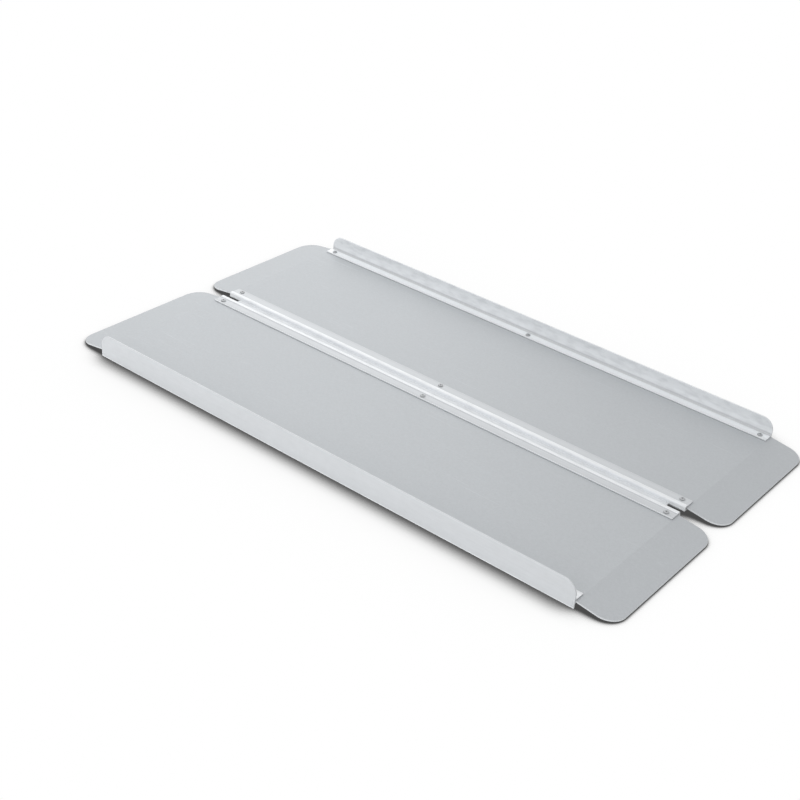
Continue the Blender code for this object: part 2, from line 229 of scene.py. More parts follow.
# Patterns: features a metre along X, Y and Z, octaves of detail, and a shift that parts them
PATTERNS = {
    "deck_grain": ((900, 900, 900), 3, 0),
    "deck_mottle": ((170, 170, 170), 2, 0),
    "deck_cloud": ((4, 7, 7), 3, 0),
    "travel_marks": ((5, 420, 420), 2, 3.1),
    "marked_patches": ((7, 11, 11), 2, 8.4),
    "die_lines": ((1.5, 1400, 1400), 2, 0),
    "die_streaks": ((1.2, 240, 240), 3, 2.7),
    "extrusion_cloud": ((6, 30, 30), 3, 5.2),
    "nicks": ((60, 320, 320), 2, 6.6),
    "worn_patches": ((35, 90, 90), 4, 1.3),
    "saw_lines": ((200, 1900, 160), 2, 4.8),
    "rivet_grain": ((1400, 1400, 1400), 3, 0),
    "rivet_cloud": ((260, 260, 260), 3, 2.2),
    "turning_marks": ((1600, 60, 60), 2, 1.9),
    "zinc_cloud": ((90, 90, 90), 4, 4.4),
}

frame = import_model()

RAIL_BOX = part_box("curb_rail_right")
LEAF_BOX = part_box("hinge_leaf_right")
DECK_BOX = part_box("deck_right")
HALF_LENGTH = RAIL_BOX[1].x
HALF_WIDTH = RAIL_BOX[1].y
CURB_HEIGHT = RAIL_BOX[1].z
LEAF_OUTER = LEAF_BOX[1].y
DECK_INNER = DECK_BOX[0].y
DECK_OUTER = DECK_BOX[1].y
DECK_TOP = DECK_LIFT + DECK_THICK
FLANGE_UNDER = DECK_TOP + CONTACT_GAP
FLANGE_TOP = FLANGE_UNDER + FLANGE_THICK
LEDGE_TOP = DECK_LIFT - CONTACT_GAP
LEDGE_UNDER = LEDGE_TOP - LEDGE_THICK
RIDGE_TOP = FLANGE_TOP + RIDGE_HEIGHT
AXIS_Z = LEDGE_UNDER - KNUCKLE_TOP_GAP - KNUCKLE_RADIUS
CURB_INNER = HALF_WIDTH - CURB_WALL
STRIP_HALF = HALF_LENGTH - END_NOTCH
LIP_ANGLE = math.asin(LIP_DROP / LIP_LENGTH)
SIDES = {"left": -1, "right": 1}


# ---------------------------------------------------------------- shapes


def object_from(name, mesh_data):
    """A scene object made of this bmesh, with its faces turned outwards."""
    bmesh.ops.recalc_face_normals(mesh_data, faces=mesh_data.faces)
    mesh = bpy.data.meshes.new(name)
    mesh_data.to_mesh(mesh)
    mesh_data.free()
    obj = bpy.data.objects.new(name, mesh)
    bpy.context.scene.collection.objects.link(obj)
    return obj


def rounded(corners, steps=CORNER_STEPS):
    """The outline through corners (u, v, radius), each corner turned into an arc of its radius."""
    outline = []
    for index, (u, v, radius) in enumerate(corners):
        corner = Vector((u, v))
        to_last = (Vector(corners[index - 1][:2]) - corner).normalized()
        to_next = (Vector(corners[(index + 1) % len(corners)][:2]) - corner).normalized()
        if radius == 0:
            outline.append(corner)
            continue
        half_turn = to_last.angle(to_next) / 2
        centre = corner + (to_last + to_next).normalized() * (radius / math.sin(half_turn))
        reach = radius / math.tan(half_turn)
        start = corner + to_last * reach - centre
        sweep = math.pi - 2 * half_turn
        if start.x * (to_next - to_last).y - start.y * (to_next - to_last).x < 0:
            sweep = -sweep
        for step in range(steps + 1):
            angle = sweep * step / steps
            turned = Vector((
                start.x * math.cos(angle) - start.y * math.sin(angle),
                start.x * math.sin(angle) + start.y * math.cos(angle),
            ))
            outline.append(centre + turned)
    return outline


def add_prism(mesh_data, outline, start, end, axis="X"):
    """Adds an outline run along X, where it is (y, z), along Y as (x, z) or along Z as (x, y)."""
    order = {"X": (2, 0, 1), "Y": (0, 2, 1), "Z": (0, 1, 2)}[axis]
    rings = []
    for at in (start, end):
        points = [(u, v, at) for u, v in outline]
        rings.append([mesh_data.verts.new([p[i] for i in order]) for p in points])
    first, last = rings
    mesh_data.faces.new(first)
    mesh_data.faces.new(last)
    for index in range(len(outline)):
        before = index - 1
        mesh_data.faces.new((first[before], first[index], last[index], last[before]))


def prism(name, outline, start, end, axis="X"):
    """One outline run from start to end along an axis, as an object."""
    mesh_data = bmesh.new()
    add_prism(mesh_data, outline, start, end, axis)
    return object_from(name, mesh_data)


def sided(points, side):
    """The points of a right-hand outline in (y, z), or their mirror image for the left."""
    return [(side * point[0], *point[1:]) for point in points]


def circle(radius, centre, steps=ROUND_STEPS):
    """The points of a circle."""
    angles = [2 * math.pi * step / steps for step in range(steps)]
    return [(centre[0] + radius * math.cos(a), centre[1] + radius * math.sin(a)) for a in angles]


def lathe(name, profile, steps=ROUND_STEPS):
    """A solid of revolution about Z from (radius, z) points that begin and end on the axis."""
    mesh_data = bmesh.new()
    ends = [mesh_data.verts.new((0, 0, profile[at][1])) for at in (0, -1)]
    rings = []
    for radius, z in profile[1:-1]:
        points = circle(radius, (0, 0), steps)
        rings.append([mesh_data.verts.new((x, y, z)) for x, y in points])
    for index in range(steps):
        before = index - 1
        mesh_data.faces.new((ends[0], rings[0][before], rings[0][index]))
        mesh_data.faces.new((ends[1], rings[-1][index], rings[-1][before]))
        for inner, outer in zip(rings, rings[1:]):
            mesh_data.faces.new((inner[before], inner[index], outer[index], outer[before]))
    return object_from(name, mesh_data)


def cut_or_join(obj, other, operation):
    """Applies one Boolean and removes the helper."""
    modifier = obj.modifiers.new("boolean", "BOOLEAN")
    modifier.operation = operation
    modifier.solver = "EXACT"
    modifier.object = other
    apply_modifiers(obj)
    bpy.data.objects.remove(other, do_unlink=True)


def apply_modifiers(obj):
    """Keeps the evaluated mesh in place of the modifiers."""
    graph = bpy.context.evaluated_depsgraph_get()
    baked = bpy.data.meshes.new_from_object(obj.evaluated_get(graph))
    obj.modifiers.clear()
    old = obj.data
    obj.data = baked
    bpy.data.meshes.remove(old)
    baked.name = obj.name


def clear_flats(obj):
    """Takes out the stray points and edges that Booleans leave on flat faces and straight edges."""
    mesh_data = bmesh.new()
    mesh_data.from_mesh(obj.data)
    bmesh.ops.remove_doubles(mesh_data, verts=mesh_data.verts, dist=WELD_DISTANCE)
    bmesh.ops.dissolve_limit(
        mesh_data, angle_limit=FLAT_ANGLE, verts=mesh_data.verts, edges=mesh_data.edges
    )
    mesh_data.to_mesh(obj.data)
    mesh_data.free()


def ease_edges(obj, width):
    """Rounds the sharp edges by this much, or less at short edges, and shades them smooth."""
    clear_flats(obj)
    bevel = obj.modifiers.new("eased_edges", "BEVEL")
    bevel.width = width
    bevel.segments = EDGE_SEGMENTS
    bevel.limit_method = "ANGLE"
    bevel.angle_limit = BEVEL_ANGLE
    bevel.use_clamp_overlap = True
    apply_modifiers(obj)
    shade(obj)


def shade(obj):
    """Smooth shading that keeps every flat face flat."""
    obj.data.shade_smooth()
    obj.data.set_sharp_from_angle(angle=SMOOTH_ANGLE)
    weighted = obj.modifiers.new("weighted_normals", "WEIGHTED_NORMAL")
    weighted.mode = "FACE_AREA"
    weighted.keep_sharp = True
    apply_modifiers(obj)


def drill(obj, row):
    """Drills the holes of these rivet nodes through the piece."""
    mesh_data = bmesh.new()
    for node in row:
        low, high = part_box(node)
        middle = (low + high) / 2
        outline = circle(RIVET_RADIUS + CONTACT_GAP, (middle.x, middle.y), ROUND_STEPS // 2)
        add_prism(mesh_data, outline, -CUTTER_MARGIN, CURB_HEIGHT, "Z")
    cut_or_join(obj, object_from("drill", mesh_data), "DIFFERENCE")


def rivet_nodes(row, label):
    """The nodes of the three rivets in one half's curb or hinge row."""
    return [f"rivet_{row}_{label}_{number}" for number in (1, 2, 3)]


def dress(obj, node, material):
    """Gives the piece this material, puts it on its node's body and hides the node it stands in for.
    """
    obj.data.materials.clear()
    obj.data.materials.append(material)
    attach(obj, frame["nodes"][node]["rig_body"])
    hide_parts(node)


# ---------------------------------------------------------------- pieces


def deck_columns():
    """The upper surface in side view from the middle to the start of a lip, as (x, z)."""
    path = []
    for step in range(BEND_STEPS + 1):
        angle = LIP_ANGLE * step / BEND_STEPS
        along = HALF_LENGTH + BEND_RADIUS * math.sin(angle)
        path.append((along, DECK_TOP - BEND_RADIUS * (1 - math.cos(angle))))
    return path


def lip_rim():
    """The lip's edge from its outer side to its inner side, as (distance from the bend, y)."""
    length = LIP_LENGTH - BEND_RADIUS * LIP_ANGLE
    corners = [
        (0, DECK_OUTER, 0),
        (length, DECK_OUTER, LIP_CORNER),
        (length, DECK_INNER, LIP_CORNER),
        (0, DECK_INNER, 0),
    ]
    return rounded(corners, BIG_CORNER_STEPS)[1:-1]


def build_deck(label, side):
    """One sheet with a lip bent down at each end, rounded at both corners and deburred."""
    mesh_data = bmesh.new()
    path = deck_columns()
    columns = [(-x, z) for x, z in reversed(path)] + path
    edges = []
    for x, z in columns:
        inner = mesh_data.verts.new((x, side * DECK_INNER, z))
        outer = mesh_data.verts.new((x, side * DECK_OUTER, z))
        edges.append((inner, outer))
    for (inner, outer), (next_inner, next_outer) in zip(edges, edges[1:]):
        mesh_data.faces.new((inner, outer, next_outer, next_inner))
    bend_x, bend_z = path[-1]
    for end, (inner, outer) in ((-1, edges[0]), (1, edges[-1])):
        rim = []
        for distance, y in lip_rim():
            x = end * (bend_x + distance * math.cos(LIP_ANGLE))
            z = bend_z - distance * math.sin(LIP_ANGLE)
            rim.append(mesh_data.verts.new((x, side * y, z)))
        mesh_data.faces.new([inner, outer, *rim])
    for face in mesh_data.faces:
        face.normal_update()
        if face.normal.z < 0:
            face.normal_flip()
    obj = object_from("sheet_" + label, mesh_data)
    sheet = obj.modifiers.new("sheet", "SOLIDIFY")
    sheet.thickness = DECK_THICK
    sheet.offset = -1
    sheet.use_even_offset = True
    apply_modifiers(obj)
    drill(obj, rivet_nodes("curb", label) + rivet_nodes("hinge", label))
    ease_edges(obj, SHEET_EDGE)
    return obj


def drawn_in(corners, depth):
    """The corners (u, v, radius) of an outline drawn in by this much along its whole length."""
    points = [Vector(corner[:2]) for corner in corners]
    area = sum(a.x * b.y - a.y * b.x for a, b in zip(points, points[1:] + points[:1]))
    turn = math.copysign(1, area)
    result = []
    for index, corner in enumerate(corners):
        before = (points[index] - points[index - 1]).normalized()
        after = (points[(index + 1) % len(points)] - points[index]).normalized()
        inwards = [turn * Vector((-edge.y, edge.x)) for edge in (before, after)]
        share = depth / (1 + inwards[0].dot(inwards[1]))
        place = points[index] + (inwards[0] + inwards[1]) * share
        points_out = turn * (before.x * after.y - before.y * after.x) > 0
        radius = corner[2]
        if radius:
            radius += -depth if points_out else depth
        result.append((place.x, place.y, radius))
    return result


def rail_corners(top):
    """The rail's section in (y, z) where its wall is this high."""
    return [
        (HALF_WIDTH, 0, EDGE_ROUND),
        (HALF_WIDTH, top, TIP_ROUND),
        (CURB_INNER, top, TIP_ROUND),
        (CURB_INNER, FLANGE_TOP, INNER_ROUND),
        (CURB_INNER - CURB_FLANGE, FLANGE_TOP, TIP_ROUND),
        (CURB_INNER - CURB_FLANGE, FLANGE_UNDER, EDGE_ROUND),
        (CURB_INNER, FLANGE_UNDER, 0),
        (CURB_INNER, LEDGE_TOP, 0),
        (CURB_INNER - CURB_LEDGE, LEDGE_TOP, EDGE_ROUND),
        (CURB_INNER - CURB_LEDGE, LEDGE_UNDER, EDGE_ROUND),
        (CURB_INNER, LEDGE_UNDER, INNER_ROUND),
        (CURB_INNER, 0, EDGE_ROUND),
    ]


def rail_stations():
    """The sections from the ground end to the middle, as (x, height of the wall, drawn in by)."""
    centre_x = HALF_LENGTH - CURB_CORNER
    centre_z = CURB_HEIGHT - CURB_CORNER
    stations = []
    for step in range(EDGE_SEGMENTS):
        angle = math.pi / 2 * step / EDGE_SEGMENTS
        x = HALF_LENGTH - CUT_EDGE * (1 - math.cos(angle))
        rise = math.sqrt(max(CURB_CORNER ** 2 - (x - centre_x) ** 2, 0))
        stations.append((x, centre_z + rise, CUT_EDGE * (1 - math.sin(angle))))
    first = math.acos(1 - CUT_EDGE / CURB_CORNER)
    for step in range(BIG_CORNER_STEPS + 1):
        angle = first + (math.pi / 2 - first) * step / BIG_CORNER_STEPS
        x = centre_x + CURB_CORNER * math.cos(angle)
        stations.append((x, centre_z + CURB_CORNER * math.sin(angle), 0))
    return stations


def build_rail(label, side):
    """An extrusion with a wall, a flange on the deck and a ledge under it.

    The sections follow the wall down round its two upper corners, and draw in at the sawn ends.
    """
    stations = rail_stations()
    stations += [(-x, top, depth) for x, top, depth in reversed(stations)]
    mesh_data = bmesh.new()
    rings = []
    for x, top, depth in stations:
        outline = rounded(sided(drawn_in(rail_corners(top), depth), side))
        rings.append([mesh_data.verts.new((x, y, z)) for y, z in outline])
    mesh_data.faces.new(rings[0])
    mesh_data.faces.new(rings[-1])
    for ring, other in zip(rings, rings[1:]):
        for index in range(len(ring)):
            before = index - 1
            mesh_data.faces.new((ring[before], ring[index], other[index], other[before]))
    rail = object_from("edge_rail_" + label, mesh_data)
    drill(rail, rivet_nodes("curb", label))
    clear_flats(rail)
    shade(rail)
    return rail


def build_leaf(label, side):
    """An extrusion that holds the deck's inner edge and carries every other knuckle."""
    ridge_outer = GROOVE_HALF + RIDGE_WIDTH
    corners = [
        (CONTACT_GAP / 2, LEDGE_TOP, PARTING_ROUND),
        (GROOVE_HALF, LEDGE_TOP, EDGE_ROUND),
        (GROOVE_HALF, RIDGE_TOP, RIDGE_ROUND),
        (ridge_outer - RIDGE_HEIGHT, RIDGE_TOP, RIDGE_EDGE_ROUND),
        (ridge_outer, FLANGE_TOP, EDGE_ROUND),
        (LEAF_OUTER, FLANGE_TOP, TIP_ROUND),
        (LEAF_OUTER, FLANGE_UNDER, EDGE_ROUND),
        (GROOVE_HALF + LEAF_WEB, FLANGE_UNDER, 0),
        (GROOVE_HALF + LEAF_WEB, LEDGE_TOP, 0),
        (LEAF_LEDGE, LEDGE_TOP, EDGE_ROUND),
        (LEAF_LEDGE, LEDGE_UNDER, EDGE_ROUND),
        (CONTACT_GAP / 2, LEDGE_UNDER, 0),
    ]
    outline = rounded(sided(corners, side))
    leaf = prism("leaf_" + label, outline, -HALF_LENGTH, HALF_LENGTH)
    cut_or_join(leaf, knuckles(side), "UNION")
    cut_or_join(leaf, notches(side), "DIFFERENCE")
    reach = STRIP_HALF + CUTTER_MARGIN
    bore = prism("bore", circle(PIN_RADIUS + CONTACT_GAP, (0, AXIS_Z)), -reach, reach)
    cut_or_join(leaf, bore, "DIFFERENCE")
    drill(leaf, rivet_nodes("hinge", label))
    ease_edges(leaf, CUT_EDGE)
    return leaf


def knuckles(side):
    """This side's knuckles, every other one of the row, each a barrel with a block above it."""
    block_inner = CONTACT_GAP / 2
    start = math.acos(block_inner / KNUCKLE_RADIUS)
    outline = [(block_inner, LEDGE_UNDER + KNUCKLE_ROOT)]
    for step in range(ROUND_STEPS + 1):
        angle = start + (2 * math.pi - start) * step / ROUND_STEPS
        y = KNUCKLE_RADIUS * math.cos(angle)
        outline.append((y, AXIS_Z + KNUCKLE_RADIUS * math.sin(angle)))
    outline.append((KNUCKLE_RADIUS, LEDGE_UNDER + KNUCKLE_ROOT))
    pitch = 2 * STRIP_HALF / KNUCKLE_COUNT
    mesh_data = bmesh.new()
    for index in range(0 if side < 0 else 1, KNUCKLE_COUNT, 2):
        low = -STRIP_HALF + index * pitch + KNUCKLE_SIDE_GAP / 2
        high = low + pitch - KNUCKLE_SIDE_GAP
        add_prism(mesh_data, sided(outline, side), low, high)
    return object_from("knuckles", mesh_data)


def notches(side):
    """What is taken from the middle of the hinge at both ends of a leaf."""
    inner = -CUTTER_MARGIN
    outer = GROOVE_HALF - NOTCH_TOE
    low = -CUTTER_MARGIN
    high = LEDGE_TOP + CUTTER_MARGIN
    outline = [(inner, low), (outer, low), (outer, high), (inner, high)]
    mesh_data = bmesh.new()
    for end in (-1, 1):
        far = end * (HALF_LENGTH + CUTTER_MARGIN)
        add_prism(mesh_data, sided(outline, side), end * STRIP_HALF, far)
    return object_from("notches", mesh_data)


def build_rivet(node):
    """A blind rivet: domed head with the broken mandrel in its mouth, shank and bulged tail."""
    low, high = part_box(node)
    middle = (low + high) / 2
    seat = high.z - RIVET_HEAD_HEIGHT
    head = (high.x - low.x) / 2
    bottom = low.z - seat
    profile = [(RIVET_TAIL_RADIUS * u, bottom + RIVET_TAIL_HEIGHT * v) for u, v in TAIL_SHAPE]
    profile += [
        (RIVET_RADIUS, bottom + RIVET_TAIL_HEIGHT),
        (RIVET_RADIUS, 0),
        (head - HEAD_EDGE / 2, 0),
        (head, HEAD_EDGE / 2),
        (head, HEAD_EDGE),
    ]
    lip = RIVET_MOUTH_RADIUS + MOUTH_LIP
    for step in range(1, DOME_STEPS + 1):
        angle = step / DOME_STEPS * math.pi / 2
        radius = lip + (head - lip) * math.cos(angle) ** DOME_FULLNESS
        rise = (RIVET_HEAD_HEIGHT - HEAD_EDGE) * math.sin(angle)
        profile.append((radius, HEAD_EDGE + rise))
    for inward, down in MOUTH_SHAPE:
        profile.append((RIVET_MOUTH_RADIUS - inward, RIVET_HEAD_HEIGHT - down))
    profile.append((0, RIVET_HEAD_HEIGHT - MANDREL_DEPTH))
    rivet = lathe(node.replace("rivet", "blind_rivet"), profile)
    rivet.location = (middle.x, middle.y, seat)
    shade(rivet)
    return rivet


def build_pin():
    """The hinge rod with its formed head and a chamfered tip."""
    low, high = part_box("hinge_pin")
    head = (high.z - low.z) / 2
    length = high.x - low.x
    profile = [(0, 0)]
    profile += [(head * share, along) for share, along in ROD_HEAD_SHAPE]
    profile += [
        (head, ROD_HEAD_THICK - ROD_HEAD_EDGE),
        (head - ROD_HEAD_EDGE, ROD_HEAD_THICK),
        (PIN_RADIUS, ROD_HEAD_THICK),
        (PIN_RADIUS, length - ROD_TIP_LENGTH),
        (PIN_RADIUS - ROD_TIP_DEPTH, length),
        (0, length),
    ]
    pin = lathe("hinge_rod", profile)
    pin.rotation_euler = (0, math.pi / 2, 0)
    pin.location = (low.x, 0, AXIS_Z)
    shade(pin)
    return pin


def build_retainer():
    """The push-on collar at the rod's plain end."""
    low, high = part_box("hinge_pin_retainer")
    outer = (high.z - low.z) / 2
    inner = PIN_RADIUS + CONTACT_GAP
    thick = high.x - low.x
    section = [
        (inner, COLLAR_EDGE),
        (inner + COLLAR_EDGE, 0),
        (outer - COLLAR_EDGE, 0),
        (outer, COLLAR_EDGE),
        (outer, thick - COLLAR_EDGE),
        (outer - COLLAR_EDGE, thick),
        (inner + COLLAR_EDGE, thick),
        (inner, thick - COLLAR_EDGE),
    ]
    mesh_data = bmesh.new()
    rings = []
    for radius, along in section:
        points = circle(radius, (0, AXIS_Z))
        rings.append([mesh_data.verts.new((low.x + along, y, z)) for y, z in points])
    for ring, other in zip(rings, rings[1:] + rings[:1]):
        for index in range(ROUND_STEPS):
            before = index - 1
            mesh_data.faces.new((ring[before], ring[index], other[index], other[before]))
    collar = object_from("hinge_rod_collar", mesh_data)
    shade(collar)
    return collar


# ---------------------------------------------------------------- finishes


class Finish:
    """A node material being built: each method adds a node and returns what comes out of it."""

    def __init__(self, name, metallic):
        self.material = bpy.data.materials.new(name)
        self.material.use_nodes = True
        self.tree = self.material.node_tree
        self.shader = self.tree.nodes["Principled BSDF"]
        self.shader.inputs["Metallic"].default_value = metallic
        surface = self.tree.nodes.new("ShaderNodeTexCoord")
        self.place = surface.outputs["Object"]
        self.x, self.y, self.z = self.split(self.place)
        self.facing = [self.math("ABSOLUTE", part) for part in self.split(surface.outputs["Normal"])]

    def feed(self, socket, value):
        """Links a node's output to the socket, or sets the socket to a plain value."""
        if isinstance(value, bpy.types.NodeSocket):
            self.tree.links.new(value, socket)
        else:
            socket.default_value = value

    def split(self, vector):
        """The X, Y and Z of a vector."""
        node = self.tree.nodes.new("ShaderNodeSeparateXYZ")
        self.feed(node.inputs[0], vector)
        return list(node.outputs)

    def math(self, operation, *values):
        """What a Math node makes of these values."""
        node = self.tree.nodes.new("ShaderNodeMath")
        node.operation = operation
        for socket, value in zip(node.inputs, values):
            self.feed(socket, value)
        return node.outputs[0]

    def ramp(self, value, start, end, low=0.0, high=1.0):
        """The value taken from the range start to end into low to high, and held there."""
        node = self.tree.nodes.new("ShaderNodeMapRange")
        node.interpolation_type = "SMOOTHSTEP"
        for name, given in (
            ("Value", value),
            ("From Min", start),
            ("From Max", end),
            ("To Min", low),
            ("To Max", high),
        ):
            self.feed(node.inputs[name], given)
        return node.outputs[0]

    def fade(self, value, place, reach, low=0.0, high=1.0):
        """The ramp between the two distances in reach, both counted from this place."""
        return self.ramp(value, place + reach[0], place + reach[1], low, high)

    def pattern(self, name):
        """One of the PATTERNS as noise, from 0 to 1 about 0.5."""
        per_metre, detail, shift = PATTERNS[name]
        mapping = self.tree.nodes.new("ShaderNodeMapping")
        self.feed(mapping.inputs["Vector"], self.place)
        mapping.inputs["Location"].default_value = (shift, shift, shift)
        mapping.inputs["Scale"].default_value = per_metre
        node = self.tree.nodes.new("ShaderNodeTexNoise")
        node.inputs["Scale"].default_value = 1.0
        node.inputs["Detail"].default_value = detail
        self.feed(node.inputs["Vector"], mapping.outputs[0])
        return node.outputs["Fac"]

    def total(self, base, *terms):
        """base plus each (value, weight), where the value counts from 0.5."""
        result = base
        for value, weight in terms:
            swing = self.math("MULTIPLY_ADD", value, weight, -0.5 * weight)
            result = self.math("ADD", result, swing)
        return result

    def blend(self, share, first, second):
        """The first colour where share is 0 and the second where it is 1."""
        node = self.tree.nodes.new("ShaderNodeMix")
        node.data_type = "RGBA"
        self.feed(node.inputs["Factor"], share)
        for socket, color in ((node.inputs[6], first), (node.inputs[7], second)):
            self.feed(socket, (*color, 1.0) if isinstance(color, tuple) else color)
        return node.outputs[2]

    def tinted(self, color, tone):
        """The colour made lighter or darker by this factor."""
        node = self.tree.nodes.new("ShaderNodeVectorMath")
        node.operation = "SCALE"
        self.feed(node.inputs[0], color)
        self.feed(node.inputs["Scale"], tone)
        return node.outputs[0]

    def relief(self, *layers):
        """Bump from each (height, depth in metres)."""
        normal = None
        for height, depth in layers:
            node = self.tree.nodes.new("ShaderNodeBump")
            node.inputs["Strength"].default_value = 1.0
            node.inputs["Distance"].default_value = depth
            self.feed(node.inputs["Height"], height)
            if normal:
                self.feed(node.inputs["Normal"], normal)
            normal = node.outputs[0]
        self.feed(self.shader.inputs["Normal"], normal)

    def done(self, color, roughness):
        """The finished material."""
        self.feed(self.shader.inputs["Base Color"], color)
        self.feed(self.shader.inputs["Roughness"], roughness)
        return self.material


def deck_finish():
    """Blasted sheet: fine matt grain, faint mottling, travel marks and bare sheared edges."""
    look = Finish("blasted_deck_sheet", metallic=0.55)
    grain = look.pattern("deck_grain")
    mottle = look.pattern("deck_mottle")
    cloud = look.pattern("deck_cloud")
    marks = look.ramp(look.pattern("travel_marks"), *MARK_LEVELS)
    patches = look.ramp(look.pattern("marked_patches"), *MARKED_LEVELS)
    marks = look.math("MULTIPLY", marks, patches)
    rim = look.ramp(look.facing[2], *SHEARED_FACING)
    tone = look.total(1.0, (grain, 0.26), (mottle, 0.10), (cloud, 0.09))
    tone = look.math("MULTIPLY_ADD", marks, 0.07, tone)
    sheet = look.tinted(DECK_COLOR, tone)
    bare = look.tinted(BARE_EDGE_COLOR, tone)
    color = look.blend(rim, sheet, bare)
    roughness = look.total(0.52, (grain, 0.16), (cloud, 0.12))
    roughness = look.math("MULTIPLY_ADD", marks, -0.10, roughness)
    roughness = look.math("MULTIPLY_ADD", rim, -0.12, roughness)
    look.relief((mottle, 0.00006), (grain, 0.00012))
    return look.done(color, roughness)


def extrusion_finish(name, polish_and_highlight, corner_shade_and_dirt):
    """Extruded aluminium: die lines along X, sawn ends, high spots painted bright for wear and
    highlight, and corners darkened by painted shade and dirt.
    """
    look = Finish(name, metallic=0.35)
    lines = look.pattern("die_lines")
    streaks = look.pattern("die_streaks")
    cloud = look.pattern("extrusion_cloud")
    nicks = look.ramp(look.pattern("nicks"), *NICK_LEVELS)
    patchy = look.pattern("worn_patches")
    worn_and_lit = polish_and_highlight(look, patchy)
    shade_and_dirt = look.math("MULTIPLY", corner_shade_and_dirt(look), look.ramp(patchy, *DIRT_AND_SHADE_LEVELS, 0.7, 1.0))
    sawn = look.ramp(look.facing[0], *SAWN_FACING)
    saw_lines = look.pattern("saw_lines")
    tone = look.total(1.0, (lines, 0.07), (streaks, 0.09), (cloud, 0.07), (patchy, 0.10))
    tone = look.math("MULTIPLY_ADD", nicks, -0.05, tone)
    # Painted shade and dirt darken the colour here
    tone = look.math("MULTIPLY_ADD", shade_and_dirt, -DIRT_AND_SHADE_DEPTH, tone)
    along = look.tinted(EXTRUSION_COLOR, tone)
    bright = look.tinted(POLISH_AND_HIGHLIGHT_COLOR, tone)
    across = look.tinted(SAWN_COLOR, look.total(1.0, (saw_lines, 0.30)))
    # Worn spots and painted highlights take the bright colour
    color = look.blend(worn_and_lit, along, bright)
    color = look.blend(sawn, color, across)
    roughness = look.total(0.50, (streaks, 0.14), (cloud, 0.10))
    roughness = look.math("MULTIPLY_ADD", worn_and_lit, -0.10, roughness)
    roughness = look.math("MULTIPLY_ADD", sawn, 0.08, roughness)
    roughness = look.math("MULTIPLY_ADD", shade_and_dirt, 0.10, roughness)
    look.relief((streaks, 0.00003), (lines, 0.00003), (nicks, -0.00006))
    return look.done(color, roughness)


def ridge_polish_and_highlight(look, patchy):
    """The leaf's raised strips, groove walls and outer edges painted bright: partly rubbed by shoes
    and wheels, partly painted highlight.
    """
    across = look.math("ABSOLUTE", look.y)
    raised = look.fade(look.z, FLANGE_TOP, RAISED_FADE)
    wall = look.fade(across, GROOVE_HALF, GROOVE_WALL_FADE)
    above = look.fade(look.z, LEDGE_TOP, GROOVE_FLOOR_FADE)
    edge = look.fade(across, LEAF_OUTER, LEAF_EDGE_FADE)
    rubbed_and_lit = look.math("MAXIMUM", raised, look.math("MULTIPLY", wall, above))
    rubbed_and_lit = look.math("MAXIMUM", rubbed_and_lit, edge)
    # Painted highlight and wear, coming in patchily
    wear_and_highlight = look.ramp(patchy, *RIDGE_LEVELS, 0.75 * RIDGE_WEAR_AND_HIGHLIGHT, RIDGE_WEAR_AND_HIGHLIGHT)
    return look.math("MULTIPLY", rubbed_and_lit, wear_and_highlight)


def ridge_shade_and_dirt(look):
    """Painted shade on the flange at the foot of the raised strip, and dirt with painted shade along
    the edge on the deck.
    """
    across = look.math("ABSOLUTE", look.y)
    # Painted shade in the crease at the foot of the raised strip
    foot = look.math("ABSOLUTE", look.math("SUBTRACT", across, GROOVE_HALF + RIDGE_WIDTH))
    foot = look.fade(foot, 0, RIDGE_FOOT_FADE, 0.0, RIDGE_FOOT_SHADE)
    edge = look.fade(across, LEAF_OUTER, EDGE_DIRT_AND_SHADE_FADE, 0.0, LEAF_EDGE_DIRT_AND_SHADE)
    flat = look.fade(look.z, FLANGE_TOP, FLAT_FADE)
    return look.math("MULTIPLY", look.math("MAXIMUM", foot, edge), flat)


def wheel_side(look):
    """1 on the faces of a curb rail that a wheel can touch, and 0 on the others."""
    inner = look.fade(look.math("ABSOLUTE", look.y), CURB_INNER, INNER_FACE_FADE)
    above = look.fade(look.z, FLANGE_UNDER, ABOVE_DECK_FADE)
    return look.math("MULTIPLY", inner, above)


def wall_shade_and_dirt(look):
    """Painted shade along a curb rail's inside corner and up the foot of the wall, and dirt with
    painted shade at the flange's edge.
    """
    across = look.math("ABSOLUTE", look.y)
    out = look.math("MAXIMUM", look.math("SUBTRACT", CURB_INNER, across), 0.0)
    up = look.math("MAXIMUM", look.math("SUBTRACT", look.z, FLANGE_TOP), 0.0)
    # Painted shade in the inside corner, fading across the flange and up the wall
    corner = look.fade(look.math("ADD", out, up), 0, CORNER_SHADE_FADE)
    # Dirt with painted shade at the flange's edge
    edge = look.fade(out, CURB_FLANGE, EDGE_DIRT_AND_SHADE_FADE, 0.0, RAIL_EDGE_DIRT_AND_SHADE)
    return look.math("MULTIPLY", look.math("MAXIMUM", corner, edge), wheel_side(look))


